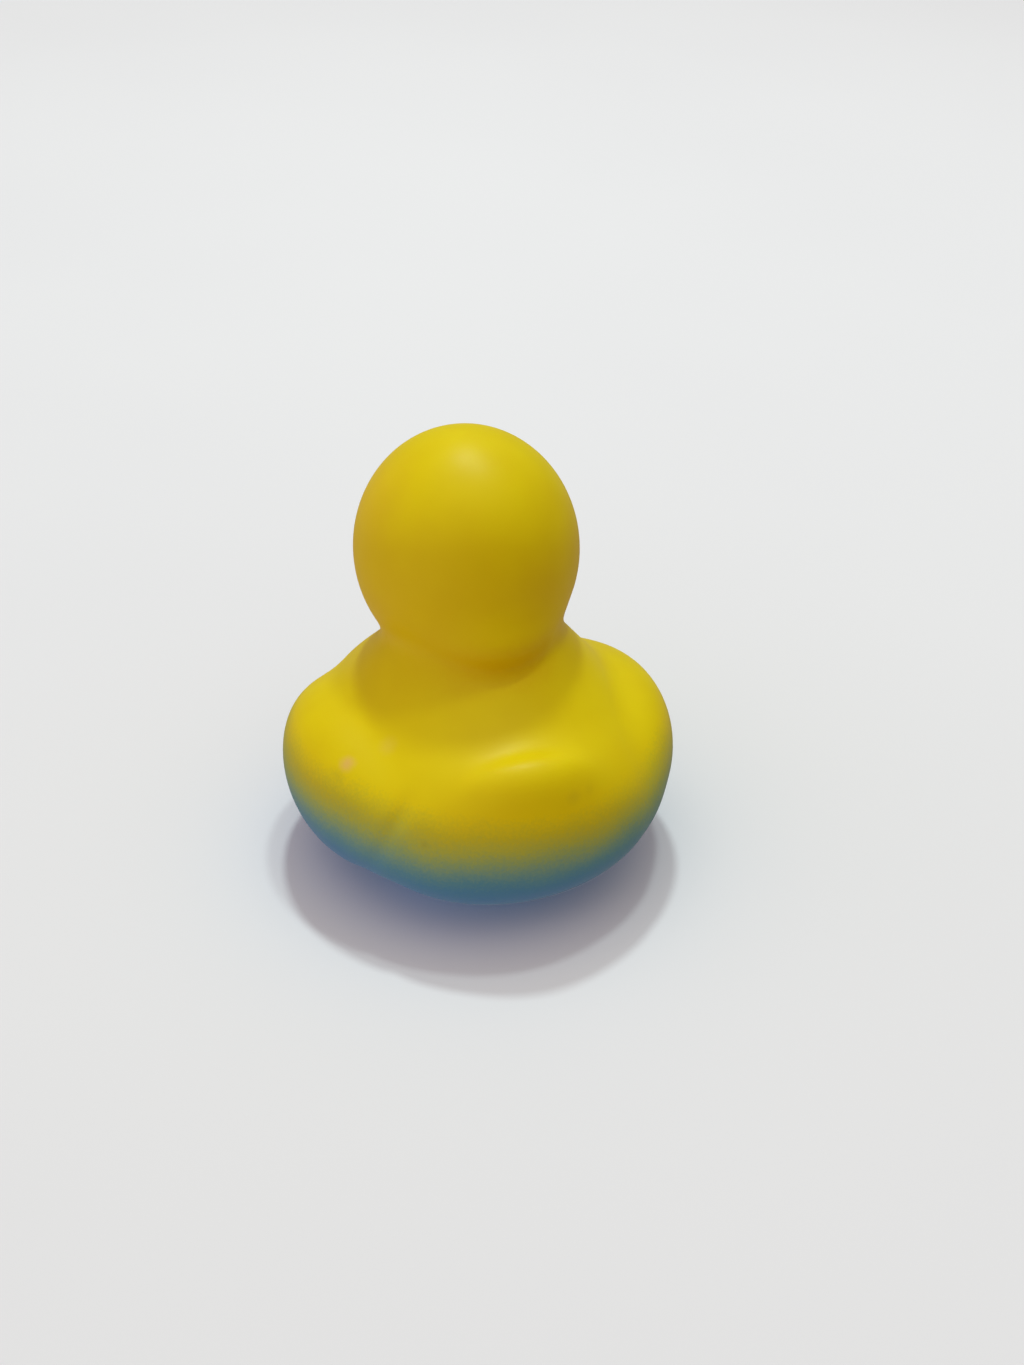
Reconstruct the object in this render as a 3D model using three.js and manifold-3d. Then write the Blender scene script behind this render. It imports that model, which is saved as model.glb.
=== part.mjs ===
// A small bath duck: one hollow vinyl moulding with a whistle disc pressed into its base.
// Millimetres, +Z up. The duck faces -Y, its left side is +X, and it stands on z = 0.
import * as THREE from 'three';
import { mergeVertices } from 'three/addons/utils/BufferGeometryUtils.js';
import Module from 'manifold-3d';

const wasm = await Module();
wasm.setup();

// ---------------------------------------------------------------- driving dimensions

// The skin is one smooth surface through these lobes. Each lobe is an ellipsoid, and a blend is
// the width over which it runs into its neighbour.
const TORSO = { centre: [0, 2.3, 14.1], radii: [19.3, 23.2, 11] };
const BELLY = { centre: [0, 1, 8], radii: [15, 18.5, 14], blend: 4 };
const BREAST = { centre: [0, -7.5, 11], radii: [16.5, 12.5, 10.5], blend: 3 };
const SHOULDERS = { centre: [0, 0.5, 18.6], radii: [11.5, 11.2, 15.3], blend: 8.8 };
const RUMP = { centre: [0, 13.3, 11.6], radii: [17.7, 11.8, 10.7], blend: 1.7 };
const HEAD = { centre: [0, -4.35, 36.4], radii: [13.1, 13.8, 14.4], blend: 1.8 };
const NECK = { centre: [0, 1.8, 30.4], radii: [8.1, 9.2, 5.2], blend: 3 };

// The tail is a broad lip across the top of the rump. It is tipped up by its tilt in degrees, and
// its ends droop by the arch and lie further forward by the bend, each times the square of x.
const TAIL = { centre: [0, 21.2, 18.95], radii: [8.1, 2.75, 3.9], blend: 2.6 };
const TAIL_FORM = { tilt: 18.3, arch: 0.0078, bend: 0.021 };

// A wing lies along each side. Its ends turn in by the bend, times the square of the distance
// along it. Its back end stands higher by the lift and its top leans out by the lean, each times
// the distance along or up it.
const WING = { centre: [16.35, 1.3, 11.3], radii: [7, 16.25, 9.5], blend: 2.8 };
const WING_FORM = { bend: 0.009, lift: 0.037, lean: 0.117 };

// The back is flattened to a plane that falls towards the tail, by its slope in degrees.
const BACK = { y: 8.5, z: 27.5, slope: 22.7, blend: 1.2 };

// A shallow groove ends the left wing. It lies where this plane meets the skin, and it fades out
// over the ramps given as [from, to] in z and y.
const GROOVE = { point: [13.1, 18, 18.6], normal: [0.8, -0.41, 0.44], depth: 0.25, width: 1 };
const GROOVE_FADES = { top: [20.5, 16.5], bottom: [4, 9], front: [5.5, 11.5] };

const BASE_BLEND = 2.5; // rounding between the flat base and the belly
const WALL = 1.8; // thickness of the moulded skin

// The bill is two flat lobes, each tipped up by its tilt in degrees.
const UPPER_BILL = { centre: [0, -18.6, 33.6], radii: [6.6, 7.18, 2.9], tilt: 12 };
const LOWER_BILL = { centre: [0, -17.1, 30.6], radii: [5, 5.6, 2.1], tilt: 3 };

// The base has a collar round its hole, with a recess below that the whistle's flange sits in.
const COLLAR_RADIUS = 8.2;
const COLLAR_TOP = 4.2;
const RECESS_RADIUS = 5.9;
const RECESS_DEPTH = 1.5;
const HOLE_RADIUS = 4.4;
const FIT_GAP = 0.3; // clearance between the whistle and the skin on every side

// The whistle is a turned cup with a flange below, a rim above and a fine bore in its floor.
const WHISTLE_BOTTOM = 0.4; // the flange stays clear of whatever the duck stands on
const WHISTLE_FLOOR_TOP = 1.7;
const WHISTLE_BORE_RADIUS = 0.9;
const WHISTLE_CUP_RADIUS = 2.9;
const RIM_HEIGHT = 1;
const RIM_OVERHANG = { bottom: 0.6, top: 0.2 }; // how far the rim stands out beyond the barrel

const SKIN_DETAIL = 14; // subdivisions of the sphere that the outer skin is drawn from
const CAVITY_DETAIL = 8; // and of the one that the inside is drawn from
const SKIN_CENTRE = new THREE.Vector3(0, -2, 21.5); // every part of the skin is in straight view of it
const FARTHEST = 60; // more than the distance from that centre to any part of the skin
const TOLERANCE = 1e-5; // how exactly the skin is found, and how near vertices are merged
const BASE_TRIM = 0.01; // sliver taken off the base so that it is truly flat
const ROOM_SIZE = 200; // the space above the ground that the duck is kept to
const BILL_SEGMENTS = { around: 24, along: 12 };
const DISC_SEGMENTS = 48;
const WHISTLE_SEGMENTS = 40;
const CUTTER_EXTRA = 1; // how far a cutting disc runs past the face that it opens

// ---------------------------------------------------------------- the skin as a smooth field

// Each function below returns a distance in millimetres, negative inside.

function ellipsoid(point, centre, radii) {
  const x = point[0] - centre[0];
  const y = point[1] - centre[1];
  const z = point[2] - centre[2];
  const level = Math.hypot(x / radii[0], y / radii[1], z / radii[2]);
  const steepness = Math.hypot(x / radii[0] ** 2, y / radii[1] ** 2, z / radii[2] ** 2);
  return (level * (level - 1)) / Math.max(steepness, 1e-9);
}

function join(a, b, blend) {
  const overlap = Math.max(blend - Math.abs(a - b), 0) / blend;
  return Math.min(a, b) - (overlap * overlap * blend) / 4;
}

function cut(a, b, blend) {
  return -join(-a, -b, blend);
}

function ramp(value, [from, to]) {
  return THREE.MathUtils.clamp((value - from) / (to - from), 0, 1);
}

function tailField([x, y, z]) {
  const along = y - TAIL.centre[1] + TAIL_FORM.bend * x * x;
  const up = z - TAIL.centre[2] + TAIL_FORM.arch * x * x;
  const tilt = THREE.MathUtils.degToRad(TAIL_FORM.tilt);
  const cos = Math.cos(tilt);
  const sin = Math.sin(tilt);
  return ellipsoid([x, cos * along + sin * up, cos * up - sin * along], [0, 0, 0], TAIL.radii);
}

function wingField([x, y, z]) {
  const along = y - WING.centre[1];
  const height = z - WING.centre[2];
  const across = x - WING.centre[0] + WING_FORM.bend * along * along - WING_FORM.lean * height;
  const up = height - WING_FORM.lift * along;
  return ellipsoid([across, along, up], [0, 0, 0], WING.radii);
}

function backField([, y, z]) {
  const slope = THREE.MathUtils.degToRad(BACK.slope);
  return (y - BACK.y) * Math.sin(slope) + (z - BACK.z) * Math.cos(slope);
}

function grooveDepth([x, y, z]) {
  const normal = new THREE.Vector3(...GROOVE.normal).normalize();
  const offset = new THREE.Vector3(x, y, z).sub(new THREE.Vector3(...GROOVE.point)).dot(normal);
  const fade = ramp(z, GROOVE_FADES.top) * ramp(z, GROOVE_FADES.bottom) * ramp(y, GROOVE_FADES.front);
  return GROOVE.depth * fade * Math.exp(-((offset / GROOVE.width) ** 2));
}

function skinField(x, y, z) {
  const point = [Math.abs(x), y, z]; // both sides are the same but for the groove
  const lobe = ({ centre, radii }) => ellipsoid(point, centre, radii);
  const belly = join(lobe(TORSO), lobe(BELLY), BELLY.blend);
  const torso = join(belly, lobe(BREAST), BREAST.blend);
  const shoulders = cut(lobe(SHOULDERS), backField(point), BACK.blend);
  const rump = join(lobe(RUMP), tailField(point), TAIL.blend);
  let distance = join(torso, shoulders, SHOULDERS.blend);
  distance = join(distance, rump, RUMP.blend);
  distance = join(distance, wingField(point), WING.blend);
  distance += grooveDepth([x, y, z]);
  distance = join(distance, join(lobe(HEAD), lobe(NECK), NECK.blend), HEAD.blend);
  return cut(distance, -z, BASE_BLEND);
}

// ---------------------------------------------------------------- making solids

// A sphere whose vertices are slid along their radii until they lie at a given depth under the skin.
function skinGeometry(detail, depth) {
  const geometry = new THREE.IcosahedronGeometry(1, detail);
  geometry.deleteAttribute('normal');
  geometry.deleteAttribute('uv');
  const merged = mergeVertices(geometry, TOLERANCE);
  const position = merged.getAttribute('position');
  const direction = new THREE.Vector3();
  for (let i = 0; i < position.count; i += 1) {
    direction.fromBufferAttribute(position, i).normalize();
    let inside = 0;
    let outside = FARTHEST;
    while (outside - inside > TOLERANCE) {
      const middle = (inside + outside) / 2;
      const point = SKIN_CENTRE.clone().addScaledVector(direction, middle);
      if (skinField(point.x, point.y, point.z) < -depth) {
        inside = middle;
      } else {
        outside = middle;
      }
    }
    const surface = SKIN_CENTRE.clone().addScaledVector(direction, inside);
    position.setXYZ(i, surface.x, surface.y, surface.z);
  }
  return merged;
}

function billGeometry({ centre, radii, tilt }) {
  const geometry = new THREE.SphereGeometry(1, BILL_SEGMENTS.around, BILL_SEGMENTS.along);
  geometry.scale(...radii);
  geometry.rotateX(THREE.MathUtils.degToRad(-tilt));
  geometry.translate(...centre);
  return geometry;
}

// An upright cylinder from one height to another.
function discGeometry(radius, bottom, top) {
  const geometry = new THREE.CylinderGeometry(radius, radius, top - bottom, DISC_SEGMENTS);
  geometry.rotateX(Math.PI / 2);
  geometry.translate(0, 0, (bottom + top) / 2);
  return geometry;
}

function toSolid(geometry) {
  const bare = geometry.clone();
  bare.deleteAttribute('normal');
  bare.deleteAttribute('uv');
  const merged = mergeVertices(bare, TOLERANCE);
  const vertProperties = new Float32Array(merged.getAttribute('position').array);
  const triVerts = new Uint32Array(merged.getIndex().array);
  return new wasm.Manifold(new wasm.Mesh({ numProp: 3, vertProperties, triVerts }));
}

function toGeometry(solid) {
  const mesh = solid.getMesh();
  const geometry = new THREE.BufferGeometry();
  geometry.setAttribute('position', new THREE.BufferAttribute(mesh.vertProperties, 3));
  geometry.setIndex(new THREE.BufferAttribute(mesh.triVerts, 1));
  geometry.computeVertexNormals();
  return geometry;
}

function namedMesh(name, geometry, material) {
  const mesh = new THREE.Mesh(geometry, material);
  mesh.name = name;
  return mesh;
}

// ---------------------------------------------------------------- the two pieces

// The whole duck: skin and bill, less the cavity, with the collar, its recess and its hole.
function shellGeometry() {
  const room = new THREE.BoxGeometry(ROOM_SIZE, ROOM_SIZE, ROOM_SIZE);
  room.translate(0, 0, ROOM_SIZE / 2);
  const outside = toSolid(skinGeometry(SKIN_DETAIL, 0))
    .add(toSolid(billGeometry(UPPER_BILL)))
    .add(toSolid(billGeometry(LOWER_BILL)))
    .translate([0, 0, -BASE_TRIM])
    .intersect(toSolid(room));
  return toGeometry(
    outside
      .subtract(toSolid(skinGeometry(CAVITY_DETAIL, WALL)))
      .add(toSolid(discGeometry(COLLAR_RADIUS, WALL / 2, COLLAR_TOP)))
      .subtract(toSolid(discGeometry(RECESS_RADIUS, -CUTTER_EXTRA, RECESS_DEPTH)))
      .subtract(toSolid(discGeometry(HOLE_RADIUS, 0, COLLAR_TOP + CUTTER_EXTRA))),
  );
}

// The whistle, turned about its axis: a flange in the recess, a barrel through the hole and a
// rim that holds it above the collar. A fine bore in the flange opens into a cup.
function whistleGeometry() {
  const flangeRadius = RECESS_RADIUS - FIT_GAP;
  const flangeTop = RECESS_DEPTH - FIT_GAP;
  const barrelRadius = HOLE_RADIUS - FIT_GAP;
  const rimBottom = COLLAR_TOP + FIT_GAP;
  const rimTop = rimBottom + RIM_HEIGHT;
  const profile = [
    [WHISTLE_BORE_RADIUS, WHISTLE_BOTTOM],
    [flangeRadius, WHISTLE_BOTTOM],
    [flangeRadius, flangeTop],
    [barrelRadius, flangeTop],
    [barrelRadius, rimBottom],
    [barrelRadius + RIM_OVERHANG.bottom, rimBottom],
    [barrelRadius + RIM_OVERHANG.top, rimTop],
    [WHISTLE_CUP_RADIUS, rimTop],
    [WHISTLE_CUP_RADIUS, WHISTLE_FLOOR_TOP],
    [WHISTLE_BORE_RADIUS, WHISTLE_FLOOR_TOP],
    [WHISTLE_BORE_RADIUS, WHISTLE_BOTTOM],
  ].map(([radius, height]) => new THREE.Vector2(radius, height));
  const geometry = new THREE.LatheGeometry(profile, WHISTLE_SEGMENTS);
  geometry.rotateX(Math.PI / 2);
  return toGeometry(toSolid(geometry));
}

const vinyl = new THREE.MeshStandardMaterial({ color: 0xd9c02a, roughness: 0.42, metalness: 0 });
const plastic = new THREE.MeshStandardMaterial({ color: 0xe9e6dc, roughness: 0.5, metalness: 0 });

const duck = new THREE.Group();
duck.add(namedMesh('duck_shell', shellGeometry(), vinyl));
duck.add(namedMesh('squeaker', whistleGeometry(), plastic));

export default duck;
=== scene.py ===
"""Looks of a small vinyl bath duck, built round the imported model.

The frame is in metres. Sizes and places in this script are in millimetres.
"""
import math

import bpy
import numpy as np
from mathutils import Matrix, Vector


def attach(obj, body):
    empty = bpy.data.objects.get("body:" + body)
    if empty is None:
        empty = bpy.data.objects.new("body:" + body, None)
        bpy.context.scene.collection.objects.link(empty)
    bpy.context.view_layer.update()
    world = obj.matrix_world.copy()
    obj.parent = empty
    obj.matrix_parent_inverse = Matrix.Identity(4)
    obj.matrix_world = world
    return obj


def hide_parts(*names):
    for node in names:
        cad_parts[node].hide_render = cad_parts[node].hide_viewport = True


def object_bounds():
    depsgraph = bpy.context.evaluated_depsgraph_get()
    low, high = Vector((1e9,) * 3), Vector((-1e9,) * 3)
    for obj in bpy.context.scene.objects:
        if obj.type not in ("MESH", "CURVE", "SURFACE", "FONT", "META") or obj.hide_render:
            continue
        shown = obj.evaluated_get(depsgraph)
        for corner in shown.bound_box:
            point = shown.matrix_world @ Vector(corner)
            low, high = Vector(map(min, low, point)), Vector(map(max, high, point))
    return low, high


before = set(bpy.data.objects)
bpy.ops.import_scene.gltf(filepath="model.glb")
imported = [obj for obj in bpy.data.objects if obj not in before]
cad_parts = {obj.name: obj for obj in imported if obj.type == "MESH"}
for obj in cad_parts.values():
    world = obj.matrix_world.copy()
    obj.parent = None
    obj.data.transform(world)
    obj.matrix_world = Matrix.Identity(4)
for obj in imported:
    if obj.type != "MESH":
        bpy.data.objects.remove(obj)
CAD_BOX = [list(corner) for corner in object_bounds()]
MM = 0.001

# ------------------------------------------------------------------ the duck's form, in millimetres
# The duck faces -Y, its left side is +X and it stands on z = 0. The skin is one smooth surface
# through these lobes; a blend is the width over which a lobe runs into its neighbour.
# Most of the numbers from the torso to the back are rounded results of a fit to the photo.
TORSO = {"centre": (0.0, 2.3, 14.1), "radii": (19.3, 23.2, 11.0)}
BELLY = {"centre": (0.0, 1.0, 8.0), "radii": (15.0, 18.5, 14.0), "blend": 4.0}
BREAST = {"centre": (0.0, -7.5, 11.0), "radii": (16.5, 12.5, 10.5), "blend": 3.0}
SHOULDERS = {"centre": (0.0, 0.5, 18.6), "radii": (11.5, 11.2, 15.3), "blend": 8.8}
RUMP = {"centre": (0.0, 13.3, 11.6), "radii": (17.7, 11.8, 10.7), "blend": 1.7}
HEAD = {"centre": (0.0, -4.35, 36.4), "radii": (13.1, 13.8, 14.4), "blend": 1.8}
NECK = {"centre": (0.0, 1.8, 30.4), "radii": (8.1, 9.2, 5.2), "blend": 3.0}

# The tail is a broad lip, tipped up by its tilt in degrees. Its ends droop by the arch and lie
# further forward by the bend, each times the square of x.
TAIL = {"centre": (0.0, 21.2, 18.95), "radii": (8.1, 2.75, 3.9), "tilt": 18.3, "arch": 0.0078,
        "bend": 0.021, "blend": 2.6}

# A wing's ends turn in by the bend, times the square of the distance along it. Its back end stands
# higher by the lift and its top leans out by the lean, each times the distance along or up it.
WING = {"centre": (16.35, 1.3, 11.3), "radii": (7.0, 16.25, 9.5), "bend": 0.009, "lift": 0.037,
        "lean": 0.117, "blend": 2.8}

# The back is flattened to a plane that falls towards the tail, by its slope in degrees.
BACK = {"y": 8.5, "z": 27.5, "slope": 22.7, "blend": 1.2}

# A shallow groove ends the left wing, where this plane meets the skin. It fades out over the ramps
# given as (from, to) in z at its top and bottom and in y at its front.
GROOVE = {"point": (13.1, 18.0, 18.6), "normal": (0.80, -0.41, 0.44), "depth": 0.25, "width": 1.0,
          "top": (20.5, 16.5), "bottom": (4.0, 9.0), "front": (5.5, 11.5)}

# The bill is two flat lobes, each tipped up by its tilt in degrees.
UPPER_BILL = {"centre": (0.0, -18.6, 33.6), "radii": (6.6, 7.18, 2.9), "tilt": 12.0, "blend": 1.6}
LOWER_BILL = {"centre": (0.0, -17.1, 30.6), "radii": (5.0, 5.6, 2.1), "tilt": 3.0, "blend": 1.2}

BASE_BLEND = 2.5  # rounding between the flat base and the belly
WALL = 1.8  # thickness of the moulded skin
COLLAR_RADIUS, COLLAR_TOP = 8.2, 4.2
RECESS_RADIUS, RECESS_DEPTH = 5.9, 1.5
HOLE_RADIUS = 4.4
CUTTER_BOTTOM, CUTTER_TOP = -5.0, COLLAR_TOP + 2.0  # the recess and hole are cut past the skin
EDGE = 0.4  # rounding of the moulded edges round the hole

CELL = 0.55  # size of the mesh's faces
SLIDES = 6  # rounds in which the mesh's vertices slide onto the surface
TINY_SLOPE = 1e-6  # guards a division where a field is level

# The camera stands behind the duck, above it and a little to its left, and looks at its target.
VIEW_AZIMUTH, VIEW_ELEVATION, VIEW_ROLL = 160.9, 32.2, 1.5
VIEW_DISTANCE = 230.0
VIEW_TARGET = (-4.2, 1.0, 20.3)
VIEW_LENS = 50.95
SENSOR_WIDTH = 36.0
CLIP_START, CLIP_END = 0.01, 20.0  # metres


# ------------------------------------------------------------------ smooth field

def ellipsoid(points, centre, radii):
    offset = points - np.array(centre)
    level = np.sqrt(((offset / radii) ** 2).sum(-1))
    steepness = np.sqrt(((offset / np.square(radii)) ** 2).sum(-1))
    return level * (level - 1.0) / np.maximum(steepness, TINY_SLOPE)


def join(a, b, blend):
    overlap = np.maximum(blend - np.abs(a - b), 0.0) / blend
    return np.minimum(a, b) - overlap * overlap * blend / 4.0


def cut(a, b, blend):
    return -join(-a, -b, blend)


def ramp(value, ends):
    return np.clip((value - ends[0]) / (ends[1] - ends[0]), 0.0, 1.0)


def tipped(offset, degrees):
    """Offsets from a lobe's centre, in the axes of a lobe whose +Y end is tipped up."""
    cos, sin = math.cos(math.radians(degrees)), math.sin(math.radians(degrees))
    turned = offset.copy()
    turned[..., 1] = cos * offset[..., 1] + sin * offset[..., 2]
    turned[..., 2] = cos * offset[..., 2] - sin * offset[..., 1]
    return turned


def tail_field(points):
    offset = points - np.array(TAIL["centre"])
    across = points[..., 0] ** 2
    offset[..., 1] += TAIL["bend"] * across
    offset[..., 2] += TAIL["arch"] * across
    return ellipsoid(tipped(offset, TAIL["tilt"]), (0, 0, 0), TAIL["radii"])


def wing_field(points):
    offset = points - np.array(WING["centre"])
    along = offset[..., 1].copy()
    offset[..., 0] += WING["bend"] * along ** 2 - WING["lean"] * offset[..., 2]
    offset[..., 2] -= WING["lift"] * along
    return ellipsoid(offset, (0, 0, 0), WING["radii"])


def groove_depth(points):
    normal = np.array(GROOVE["normal"]) / np.linalg.norm(GROOVE["normal"])
    offset = (points - np.array(GROOVE["point"])) @ normal
    y, z = points[..., 1], points[..., 2]
    fade = ramp(z, GROOVE["top"]) * ramp(z, GROOVE["bottom"]) * ramp(y, GROOVE["front"])
    return GROOVE["depth"] * fade * np.exp(-(offset / GROOVE["width"]) ** 2)


def lobe(points, shape):
    return ellipsoid(points, shape["centre"], shape["radii"])


def bill_lobe(points, shape):
    offset = points - np.array(shape["centre"])
    return ellipsoid(tipped(offset, -shape["tilt"]), (0, 0, 0), shape["radii"])


def body_field(points):
    """Distance to the duck without its bill, negative inside."""
    mirrored = points.copy()
    mirrored[..., 0] = np.abs(points[..., 0])
    y, z = mirrored[..., 1], mirrored[..., 2]
    slope = math.radians(BACK["slope"])
    back = (y - BACK["y"]) * math.sin(slope) + (z - BACK["z"]) * math.cos(slope)
    distance = join(lobe(mirrored, TORSO), lobe(mirrored, BELLY), BELLY["blend"])
    distance = join(distance, lobe(mirrored, BREAST), BREAST["blend"])
    shoulders = cut(lobe(mirrored, SHOULDERS), back, BACK["blend"])
    distance = join(distance, shoulders, SHOULDERS["blend"])
    rump = join(lobe(mirrored, RUMP), tail_field(mirrored), TAIL["blend"])
    distance = join(distance, rump, RUMP["blend"])
    distance = join(distance, wing_field(mirrored), WING["blend"])
    distance = distance + groove_depth(points)
    head = join(lobe(mirrored, HEAD), lobe(mirrored, NECK), NECK["blend"])
    distance = join(distance, head, HEAD["blend"])
    return cut(distance, -z, BASE_BLEND)


def cylinder(points, radius, bottom, top):
    across = np.hypot(points[..., 0], points[..., 1]) - radius
    z = points[..., 2]
    return np.maximum(across, np.maximum(bottom - z, z - top))


def duck_field(points):
    """Distance to the moulded skin: outside, cavity, collar, recess and hole."""
    body = body_field(points)
    outside = join(body, bill_lobe(points, UPPER_BILL), UPPER_BILL["blend"])
    outside = join(outside, bill_lobe(points, LOWER_BILL), LOWER_BILL["blend"])
    skin = cut(outside, -(body + WALL), EDGE)
    skin = join(skin, cylinder(points, COLLAR_RADIUS, WALL / 2, COLLAR_TOP), EDGE)
    skin = cut(skin, -cylinder(points, RECESS_RADIUS, CUTTER_BOTTOM, RECESS_DEPTH), EDGE)
    return cut(skin, -cylinder(points, HOLE_RADIUS, CUTTER_BOTTOM, CUTTER_TOP), EDGE)


# ------------------------------------------------------------------ mesh of a field

def gradient(field, points, step=0.02):
    slopes = np.empty_like(points)
    for axis in range(3):
        shift = np.zeros(3)
        shift[axis] = step
        slopes[:, axis] = (field(points + shift) - field(points - shift)) / (2 * step)
    return slopes


def slid(field, points, cell):
    """Points of the cells that a surface crosses, slid along the field's slope onto the surface."""
    for _ in range(SLIDES):
        slope = gradient(field, points)
        steepness = np.maximum((slope ** 2).sum(1), TINY_SLOPE)
        step = (field(points) / steepness)[:, None] * slope
        points = points - np.clip(step, -0.5 * cell, 0.5 * cell)
    return points


def cell_quads(inside, index):
    """A quad through the four cells round every grid edge that the surface crosses, facing out."""
    quads = []
    for axis in range(3):
        side_a, side_b = (axis + 1) % 3, (axis + 2) % 3
        crossing = np.argwhere(inside != np.roll(inside, -1, axis))
        crossing = crossing[crossing[:, axis] < inside.shape[axis] - 1]
        ring = []
        for da, db in ((0, 0), (-1, 0), (-1, -1), (0, -1)):
            spot = crossing.copy()
            spot[:, side_a] += da
            spot[:, side_b] += db
            ring.append(index[tuple(spot.T)])
        ring = np.stack(ring, 1)
        outward = inside[tuple(crossing.T)]
        ring[~outward] = ring[~outward][:, ::-1]
        quads.append(ring)
    return np.concatenate(quads)


def field_surface(field, low, high, cell):
    """Points and quads of the surface where a field is 0, one point in each cell it crosses."""
    counts = [int(math.ceil((high[i] - low[i]) / cell)) + 1 for i in range(3)]
    axes = [low[i] + cell * np.arange(counts[i]) for i in range(3)]
    values = np.empty(counts)
    for i, x in enumerate(axes[0]):
        y, z = np.meshgrid(axes[1], axes[2], indexing="ij")
        values[i] = field(np.stack([np.full_like(y, x), y, z], -1))
    inside = values < 0
    corner = [slice(0, -1), slice(1, None)]
    total = sum(inside[corner[a], corner[b], corner[c]].astype(int)
                for a in (0, 1) for b in (0, 1) for c in (0, 1))
    mixed = (total > 0) & (total < 8)
    cells = np.argwhere(mixed)
    index = np.full(mixed.shape, -1)
    index[mixed] = np.arange(len(cells))
    points = slid(field, np.array(low) + cell * (cells + 0.5), cell)
    return points, cell_quads(inside, index)


def mesh_object(name, points, faces):
    mesh = bpy.data.meshes.new(name)
    mesh.from_pydata((np.array(points) * MM).tolist(), [], faces)
    mesh.update()
    mesh.polygons.foreach_set("use_smooth", [True] * len(mesh.polygons))
    piece = bpy.data.objects.new(name, mesh)
    bpy.context.scene.collection.objects.link(piece)
    return piece


def make_duck():
    low = [v / MM - 2 * CELL for v in CAD_BOX[0]]
    high = [v / MM + 2 * CELL for v in CAD_BOX[1]]
    points, faces = field_surface(duck_field, low, high, CELL)
    return mesh_object("vinyl_duck", points, faces.tolist())


# ------------------------------------------------------------------ finish of the vinyl

# Sprayed colour, from the yellow above to the full blue below: height, linear colour.
YELLOW, YELLOW_DEEP = (0.78, 0.60, 0.001), (0.74, 0.55, 0.001)
# All but the yellow were computed by a program from the photo's colours, not chosen by hand.
SPRAY = ((18.0, YELLOW), (16.0, (0.583, 0.509, 0.018)), (14.2, (0.448, 0.475, 0.065)),
         (12.8, (0.303, 0.418, 0.152)), (11.2, (0.177, 0.347, 0.285)), (9.8, (0.101, 0.289, 0.376)),
         (8.2, (0.069, 0.249, 0.442)), (6.0, (0.055, 0.22, 0.49)))
SPRAY_WANDER, SPRAY_GRAIN = 1.0, 0.9  # heights by which the edge drifts and its droplets scatter
SPRAY_RISE, RISE_ACROSS = 0.35, (11.0, 21.0)  # the blue stands higher on the outer sides
DEEPER_ABOVE = (14.0, 20.0)  # heights over which the yellow starts to vary in depth

# Noise in the finish: the size of its features and its detail.
GRAIN, WANDER, PEEL, GLOSS = (0.32, 1.0), (7.0, 2.0), (0.6, 3.0), (5.0, 3.0)
DEPTH_PATCHES = (9.0, 0.25)  # size and spread

# Small marks, broad tints and one painted shade: centre, radii, colour and how much of it shows.
# A program found the places of all but the last from the photo, and they are rounded.
MARKS_AND_PAINTED_SHADE = (
    # a pink speck on the left wing, a fainter one above it and an olive smudge beside it
    ((18.4, 10.4, 19.2), (1.1, 1.1, 1.1), (0.78, 0.40, 0.20), 0.50),
    ((13.75, 10.9, 21.05), (1.3, 1.3, 1.3), (0.76, 0.46, 0.16), 0.16),
    ((19.55, 10.7, 18.1), (0.8, 1.5, 0.7), (0.40, 0.30, 0.03), 0.16),
    # two dull spots on the tail, and one beside it, low on the left
    ((-4.0, 23.95, 19.2), (1.2, 1.2, 0.9), (0.38, 0.28, 0.02), 0.16),
    ((-6.2, 23.15, 19.3), (0.8, 1.2, 0.8), (0.38, 0.28, 0.02), 0.10),
    ((12.6, 21.4, 14.4), (0.6, 0.6, 0.6), (0.30, 0.24, 0.03), 0.22),
    # warmer yellow on the head's upper left, and painted shade in the crease behind the neck: a
    # darker, more orange yellow there
    ((10.8, -6.6, 44.2), (6.0, 8.0, 7.0), (0.80, 0.42, 0.05), 0.22),
    ((0.0, 10.5, 28.8), (9.5, 3.6, 3.2), (0.70, 0.42, 0.001), 0.55))
MARK_FADE = 1.3  # a mark fades out at this many of its radii
MARK_RAGGED = 0.5  # how far the peel breaks up its edge

# Paint on the face, the same on both sides: centre, radii, colour and softness of the edge.
ORANGE = (0.80, 0.19, 0.006)
BILL_MARGIN, BILL_WANDER, BILL_SOFT = 1.07, 0.06, 0.02  # the paint runs just past the bill's lobes
EYE_TURN = 36.0
EYE_WHITE = ((7.4, -15.5, 39.3), (2.5, 4.0, 3.2), (0.82, 0.82, 0.78), 0.03)
EYE_BLACK = ((7.2, -15.6, 39.1), (1.75, 4.0, 2.4), (0.012, 0.011, 0.012), 0.03)
EYE_GLINT = ((6.7, -16.0, 40.2), (0.5, 4.0, 0.55), (0.85, 0.85, 0.85), 0.1)

# Roughness, and what changes it: uneven gloss, the flatter blue below these heights, the eyes.
VINYL_ROUGHNESS, GLOSS_SPREAD = 0.41, 0.12
BLUE_FLATTER, FLATTER_BELOW = 0.06, (15.0, 9.0)
EYE_SHINE = 0.25
VINYL_SPECULAR = 0.13
VINYL_TRANSLUCENCY, LIGHT_REACH = 0.08, (1.0, 0.6, 0.2)  # its share, and how far red to blue go in
PEEL_STRENGTH, PEEL_DEPTH = 0.25, 0.03

# The whistle's plain plastic.
WHISTLE_PALE, WHISTLE_DULL = (0.80, 0.78, 0.70), (0.74, 0.72, 0.62)
WHISTLE_ROUGHNESS, WHISTLE_SPREAD = 0.42, 0.15
WHISTLE_GLOSS, WHISTLE_GRAIN = (1.2, 2.0), (0.25, 2.0)  # size and detail
WHISTLE_PATCHES = (2.5, 0.3, 3.0)  # size, spread and detail
WHISTLE_STRENGTH, WHISTLE_DEPTH = 0.2, 0.02


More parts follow.
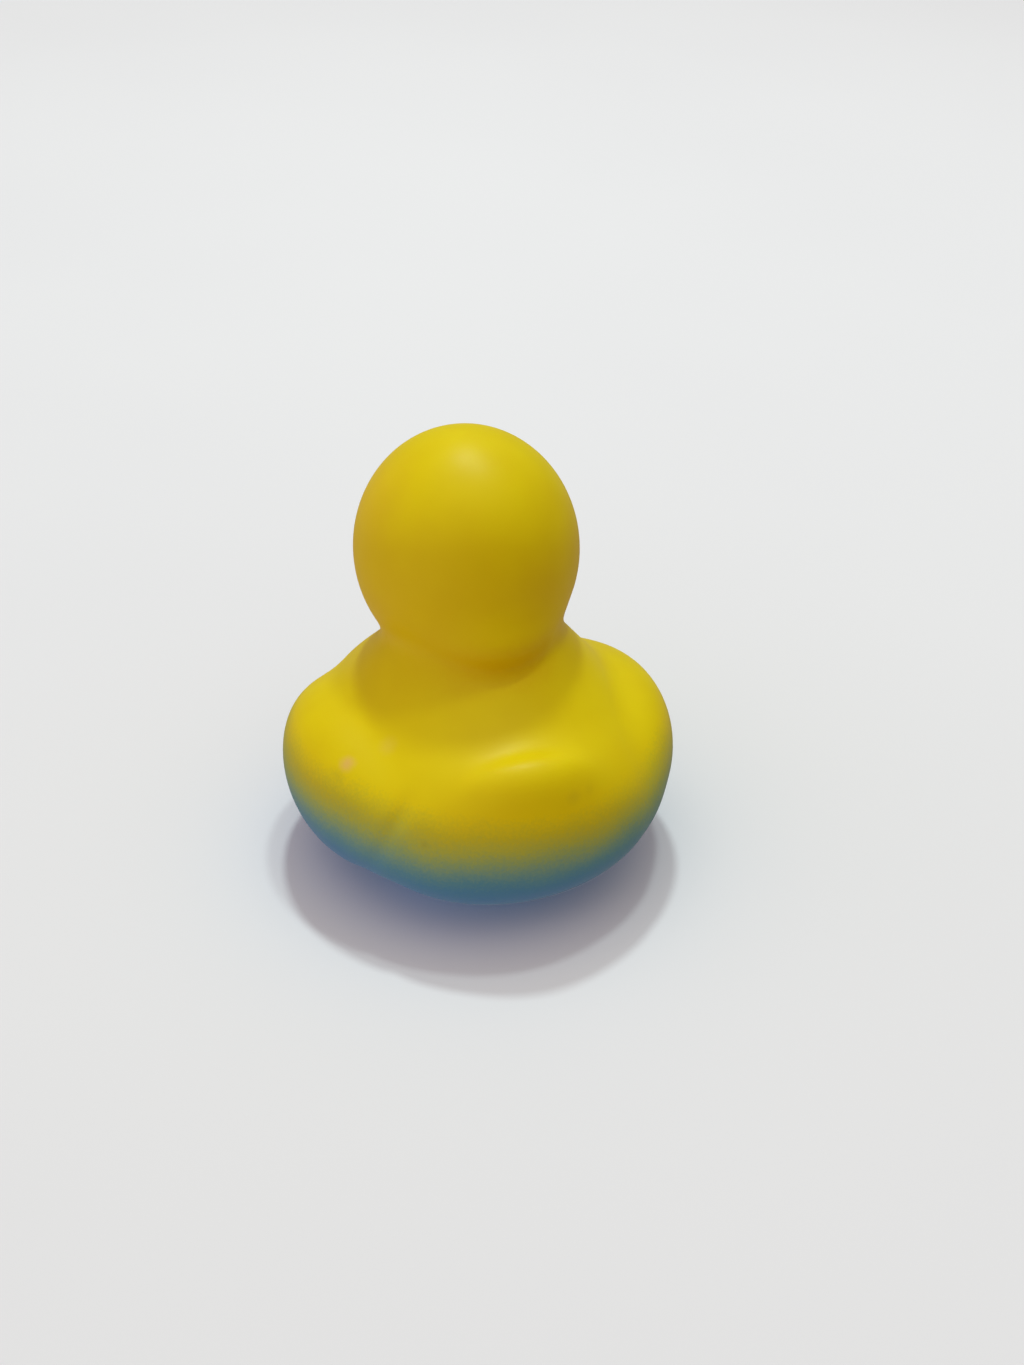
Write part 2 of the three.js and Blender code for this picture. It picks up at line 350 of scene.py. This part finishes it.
class Nodes:
    """A node tree, with one short method for each kind of node used here."""

    def __init__(self, tree, coordinates):
        self.tree = tree
        self.place = self.add("ShaderNodeTexCoord").outputs[coordinates]

    def add(self, kind, **settings):
        node = self.tree.nodes.new(kind)
        for setting, value in settings.items():
            setattr(node, setting, value)
        return node

    def feed(self, socket, value):
        if isinstance(value, bpy.types.NodeSocket):
            self.tree.links.new(value, socket)
        elif isinstance(value, tuple) and len(socket.default_value) == 4:
            socket.default_value = (*value, 1.0)
        else:
            socket.default_value = value

    def vector(self, operation, a, b=(0, 0, 0), scale=1.0):
        node = self.add("ShaderNodeVectorMath", operation=operation)
        self.feed(node.inputs[0], a)
        self.feed(node.inputs[1], b)
        if operation == "SCALE":
            node.inputs["Scale"].default_value = scale
        return node.outputs["Value" if operation in ("LENGTH", "DOT_PRODUCT") else "Vector"]

    def math(self, operation, a, b=0.0, c=0.0):
        node = self.add("ShaderNodeMath", operation=operation)
        for socket, value in zip(node.inputs, (a, b, c)):
            self.feed(socket, value)
        return node.outputs[0]

    def split(self, vector):
        node = self.add("ShaderNodeSeparateXYZ")
        self.feed(node.inputs[0], vector)
        return tuple(node.outputs)

    def blend(self, amount, a, b, kind="MIX"):
        node = self.add("ShaderNodeMix", data_type="RGBA", blend_type=kind)
        self.feed(node.inputs[0], amount)
        self.feed(node.inputs[6], a)
        self.feed(node.inputs[7], b)
        return node.outputs[2]

    def step(self, value, start, end):
        """0 up to start and 1 from end on, smooth between; start may be the larger."""
        node = self.add("ShaderNodeMapRange", interpolation_type="SMOOTHSTEP")
        self.feed(node.inputs["Value"], value)
        node.inputs["From Min"].default_value = start
        node.inputs["From Max"].default_value = end
        return node.outputs[0]

    def shades(self, value, stops):
        """The colour at a value, from stops of (level, colour) that run up or down."""
        start, end = stops[0][0], stops[-1][0]
        along = self.add("ShaderNodeMapRange")
        self.feed(along.inputs["Value"], value)
        along.inputs["From Min"].default_value = start
        along.inputs["From Max"].default_value = end
        node = self.add("ShaderNodeValToRGB")
        self.feed(node.inputs[0], along.outputs[0])
        elements = node.color_ramp.elements
        elements[0].color, elements[1].color = (*stops[0][1], 1), (*stops[-1][1], 1)
        for level, colour in stops[1:-1]:
            elements.new((level - start) / (end - start)).color = (*colour, 1)
        return node.outputs["Color"]

    def noise(self, size, detail):
        """Noise with features of the given size, -0.5 to 0.5."""
        node = self.add("ShaderNodeTexNoise")
        self.feed(node.inputs["Vector"], self.place)
        node.inputs["Scale"].default_value = 1.0 / size
        node.inputs["Detail"].default_value = detail
        return self.math("SUBTRACT", node.outputs["Fac"], 0.5)

    def patches(self, size, spread, detail=2.0):
        """Soft patches, 0 to 1, over noise from -spread to spread."""
        return self.step(self.noise(size, detail), -spread, spread)

    def lobe(self, centre, radii, turn=(0, 0, 0), place=None):
        """How far out in an ellipsoid a point is: 1 on its surface."""
        node = self.add("ShaderNodeMapping", vector_type="TEXTURE")
        self.feed(node.inputs["Vector"], place or self.place)
        node.inputs["Location"].default_value = centre
        node.inputs["Rotation"].default_value = [math.radians(v) for v in turn]
        node.inputs["Scale"].default_value = radii
        return self.vector("LENGTH", node.outputs[0])


class Finish(Nodes):
    """The nodes of one material. Its places are in millimetres."""

    def __init__(self, name, roughness):
        self.material = bpy.data.materials.new(name)
        self.material.use_nodes = True
        super().__init__(self.material.node_tree, "Object")
        self.place = self.vector("SCALE", self.place, scale=1.0 / MM)
        self.shader = self.tree.nodes["Principled BSDF"]
        self.shader.inputs["Roughness"].default_value = roughness

    def surface(self, name, value):
        self.feed(self.shader.inputs[name], value)

    def bump(self, height, strength, depth):
        node = self.add("ShaderNodeBump")
        node.inputs["Strength"].default_value = strength
        node.inputs["Distance"].default_value = depth * MM
        self.feed(node.inputs["Height"], height)
        self.surface("Normal", node.outputs[0])


def spray_height(n, wander):
    """A point's height against the sprayed edge, which drifts, rises at the sides and has a grain."""
    x, _, z = n.split(n.place)
    height = n.math("MULTIPLY_ADD", wander, 2 * SPRAY_WANDER, z)
    height = n.math("MULTIPLY_ADD", n.noise(*GRAIN), 2 * SPRAY_GRAIN, height)
    outer = n.step(n.math("ABSOLUTE", x), *RISE_ACROSS)
    return n.math("MULTIPLY_ADD", outer, -SPRAY_RISE, height)


def sprayed(n, height):
    """Yellow above and blue below, with some depth in the yellow."""
    _, _, z = n.split(n.place)
    deeper = n.math("MULTIPLY", n.patches(*DEPTH_PATCHES), n.step(z, *DEEPER_ABOVE))
    return n.blend(deeper, n.shades(height, SPRAY), YELLOW_DEEP)


# The last of the marks is painted shade: a darker, more orange yellow in the crease behind the neck.
def marked_and_shaded(n, colour, peel):
    for centre, radii, shade, strength in MARKS_AND_PAINTED_SHADE:
        edge = n.math("MULTIPLY_ADD", peel, MARK_RAGGED, n.lobe(centre, radii))
        amount = n.math("MULTIPLY", n.step(edge, MARK_FADE, 0.0), strength)
        colour = n.blend(amount, colour, shade)
    return colour


def painted_bill(n, colour, wander):
    upper, lower = (n.lobe(shape["centre"], shape["radii"], (-shape["tilt"], 0, 0))
                    for shape in (UPPER_BILL, LOWER_BILL))
    edge = n.math("MULTIPLY_ADD", wander, BILL_WANDER, n.math("MINIMUM", upper, lower))
    cover = n.step(edge, BILL_MARGIN + BILL_SOFT, BILL_MARGIN - BILL_SOFT)
    return n.blend(cover, colour, ORANGE)


def painted_eyes(n, colour):
    """The colour with both eyes on it, and where their whites are."""
    x, y, z = n.split(n.place)
    mirrored = n.add("ShaderNodeCombineXYZ")
    for socket, value in zip(mirrored.inputs, (n.math("ABSOLUTE", x), y, z)):
        n.feed(socket, value)
    covers = []
    for centre, radii, paint, soft in (EYE_WHITE, EYE_BLACK, EYE_GLINT):
        inside = n.lobe(centre, radii, (0, 0, EYE_TURN), mirrored.outputs[0])
        covers.append(n.step(inside, 1 + soft, 1 - soft))
        colour = n.blend(covers[-1], colour, paint)
    return colour, covers[0]


def make_vinyl():
    n = Finish("vinyl", VINYL_ROUGHNESS)
    wander, peel = n.noise(*WANDER), n.noise(*PEEL)
    height = spray_height(n, wander)
    # the marks include painted shade in the crease behind the neck
    colour = marked_and_shaded(n, sprayed(n, height), peel)
    colour, white = painted_eyes(n, painted_bill(n, colour, wander))
    n.surface("Base Color", colour)

    # handled vinyl is a little uneven in gloss, the sprayed blue is flatter and the eyes shine
    gloss = n.math("MULTIPLY_ADD", n.noise(*GLOSS), GLOSS_SPREAD, VINYL_ROUGHNESS)
    gloss = n.math("MULTIPLY_ADD", n.step(height, *FLATTER_BELOW), BLUE_FLATTER, gloss)
    gloss = n.math("MULTIPLY_ADD", white, -EYE_SHINE, gloss)
    n.surface("Roughness", gloss)
    n.surface("Specular IOR Level", VINYL_SPECULAR)
    n.surface("Subsurface Weight", VINYL_TRANSLUCENCY)
    n.surface("Subsurface Radius", LIGHT_REACH)
    n.surface("Subsurface Scale", MM)
    n.bump(peel, PEEL_STRENGTH, PEEL_DEPTH)
    return n.material


def make_whistle():
    n = Finish("whistle", WHISTLE_ROUGHNESS)
    n.surface("Base Color", n.blend(n.patches(*WHISTLE_PATCHES), WHISTLE_PALE, WHISTLE_DULL))
    gloss = n.math("MULTIPLY_ADD", n.noise(*WHISTLE_GLOSS), WHISTLE_SPREAD, WHISTLE_ROUGHNESS)
    n.surface("Roughness", gloss)
    n.bump(n.noise(*WHISTLE_GRAIN), WHISTLE_STRENGTH, WHISTLE_DEPTH)
    return n.material


# ------------------------------------------------------------------ stage

# Soft light from all round: sine of the elevation, and the colour that comes from there.
SKY = ((-1.0, (0.50, 0.40, 0.30)), (-0.1, (0.44, 0.35, 0.26)), (0.1, (0.20, 0.16, 0.12)),
       (0.35, (0.38, 0.31, 0.25)), (0.75, (0.44, 0.38, 0.31)), (0.92, (0.96, 0.99, 0.85)))
# More comes from the duck's left: its colour, its direction and how narrow it is.
SIDE_GLOW, SIDE_FROM, SIDE_FOCUS = (0.44, 0.37, 0.44), (0.95, 0.30, 0.0), 2.0
KEYS = (("key", -13, 66.5, 0.265), ("second_key", -48, 75, 0.13))  # azimuth, elevation, brightness
KEY_COLOUR = (1.0, 1.235, 1.10)
KEY_TARGET = (0, 0, 20)
KEY_DISTANCE, KEY_SIZE = 900.0, 80.0

# The floor curves up into a round wall.
FLOOR_RADIUS, WALL_BEND, WALL_TOP = 1200.0, 600.0, 2000.0
FLOOR_SIDES, BEND_STEPS = 96, 12
FLOOR_DROP = 0.02  # keeps the floor's face apart from the duck's base
FLOOR_PALE, FLOOR_DULL = (0.82, 0.79, 0.90), (0.80, 0.77, 0.88)
FLOOR_PATCHES = (120.0, 0.4)  # size and spread
FLOOR_ROUGHNESS, FLOOR_SPECULAR = 0.9, 0.1


def view_axes(azimuth, elevation, roll=0.0):
    """Right, up and back vectors of a camera or lamp. Azimuth 0 looks along +Y."""
    a, e, r = (math.radians(v) for v in (azimuth, elevation, roll))
    back = Vector((math.sin(a) * math.cos(e), -math.cos(a) * math.cos(e), math.sin(e)))
    level = Vector((0, 0, 1)).cross(back).normalized()
    right = level * math.cos(r) + back.cross(level) * math.sin(r)
    return right, back.cross(right), back


def aimed(name, data, target, distance, azimuth, elevation, roll=0.0):
    right, up, back = view_axes(azimuth, elevation, roll)
    thing = bpy.data.objects.new(name, data)
    turn = Matrix((right, up, back)).transposed().to_4x4()
    thing.matrix_world = Matrix.Translation((Vector(target) + back * distance) * MM) @ turn
    bpy.context.scene.collection.objects.link(thing)
    return thing


def make_camera():
    data = bpy.data.cameras.new("camera")
    data.lens = VIEW_LENS
    data.sensor_width = SENSOR_WIDTH
    data.clip_start, data.clip_end = CLIP_START, CLIP_END
    camera = aimed("camera", data, VIEW_TARGET, VIEW_DISTANCE, VIEW_AZIMUTH, VIEW_ELEVATION, VIEW_ROLL)
    bpy.context.scene.camera = camera


def make_key(name, azimuth, elevation, brightness):
    data = bpy.data.lights.new(name, "AREA")
    data.shape = "DISK"
    data.size = KEY_SIZE * MM
    data.energy = brightness * (math.pi * KEY_DISTANCE * MM) ** 2
    data.color = KEY_COLOUR
    aimed(name, data, KEY_TARGET, KEY_DISTANCE, azimuth, elevation)


def make_floor():
    profile = [(FLOOR_RADIUS - WALL_BEND, 0.0)]
    for i in range(1, BEND_STEPS + 1):
        angle = math.pi / 2 * i / BEND_STEPS
        profile.append((FLOOR_RADIUS - WALL_BEND + WALL_BEND * math.sin(angle),
                        WALL_BEND - WALL_BEND * math.cos(angle)))
    profile.append((FLOOR_RADIUS, WALL_TOP))
    points, faces = [(0.0, 0.0, 0.0)], []
    for radius, height in profile:
        for i in range(FLOOR_SIDES):
            angle = 2 * math.pi * i / FLOOR_SIDES
            points.append((radius * math.cos(angle), radius * math.sin(angle), height))
    for i in range(FLOOR_SIDES):
        j = (i + 1) % FLOOR_SIDES
        faces.append((0, 1 + i, 1 + j))
        for ring in range(len(profile) - 1):
            low = 1 + ring * FLOOR_SIDES
            faces.append((low + i, low + FLOOR_SIDES + i, low + FLOOR_SIDES + j, low + j))
    floor = mesh_object("floor", points, faces)
    n = Finish("floor", FLOOR_ROUGHNESS)
    n.surface("Specular IOR Level", FLOOR_SPECULAR)
    n.surface("Base Color", n.blend(n.patches(*FLOOR_PATCHES), FLOOR_PALE, FLOOR_DULL))
    floor.data.materials.append(n.material)
    # the light from below is the world's, so that a pale floor doesn't wash out the underside
    floor.visible_diffuse = False
    floor.visible_glossy = False
    floor.visible_shadow = False
    floor.location.z = -FLOOR_DROP * MM


def make_world():
    """Soft light that depends on the height it comes from, with more from one side."""
    world = bpy.data.worlds.new("studio")
    world.use_nodes = True
    n = Nodes(world.node_tree, "Generated")
    sky = n.shades(n.split(n.place)[2], SKY)
    faced = n.math("MAXIMUM", n.vector("DOT_PRODUCT", n.place, SIDE_FROM), 0.0)
    light = n.blend(n.math("POWER", faced, SIDE_FOCUS), sky, SIDE_GLOW, "ADD")
    n.feed(n.tree.nodes["Background"].inputs["Color"], light)
    bpy.context.scene.world = world


def make_stage():
    make_floor()
    make_world()
    for key in KEYS:
        make_key(*key)
    bpy.context.scene.view_settings.view_transform = "Standard"


make_camera()
duck = make_duck()
duck.data.materials.append(make_vinyl())
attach(duck, "root")
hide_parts("duck_shell")
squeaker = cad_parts["squeaker"]
squeaker.material_slots[0].material = make_whistle()
make_stage()
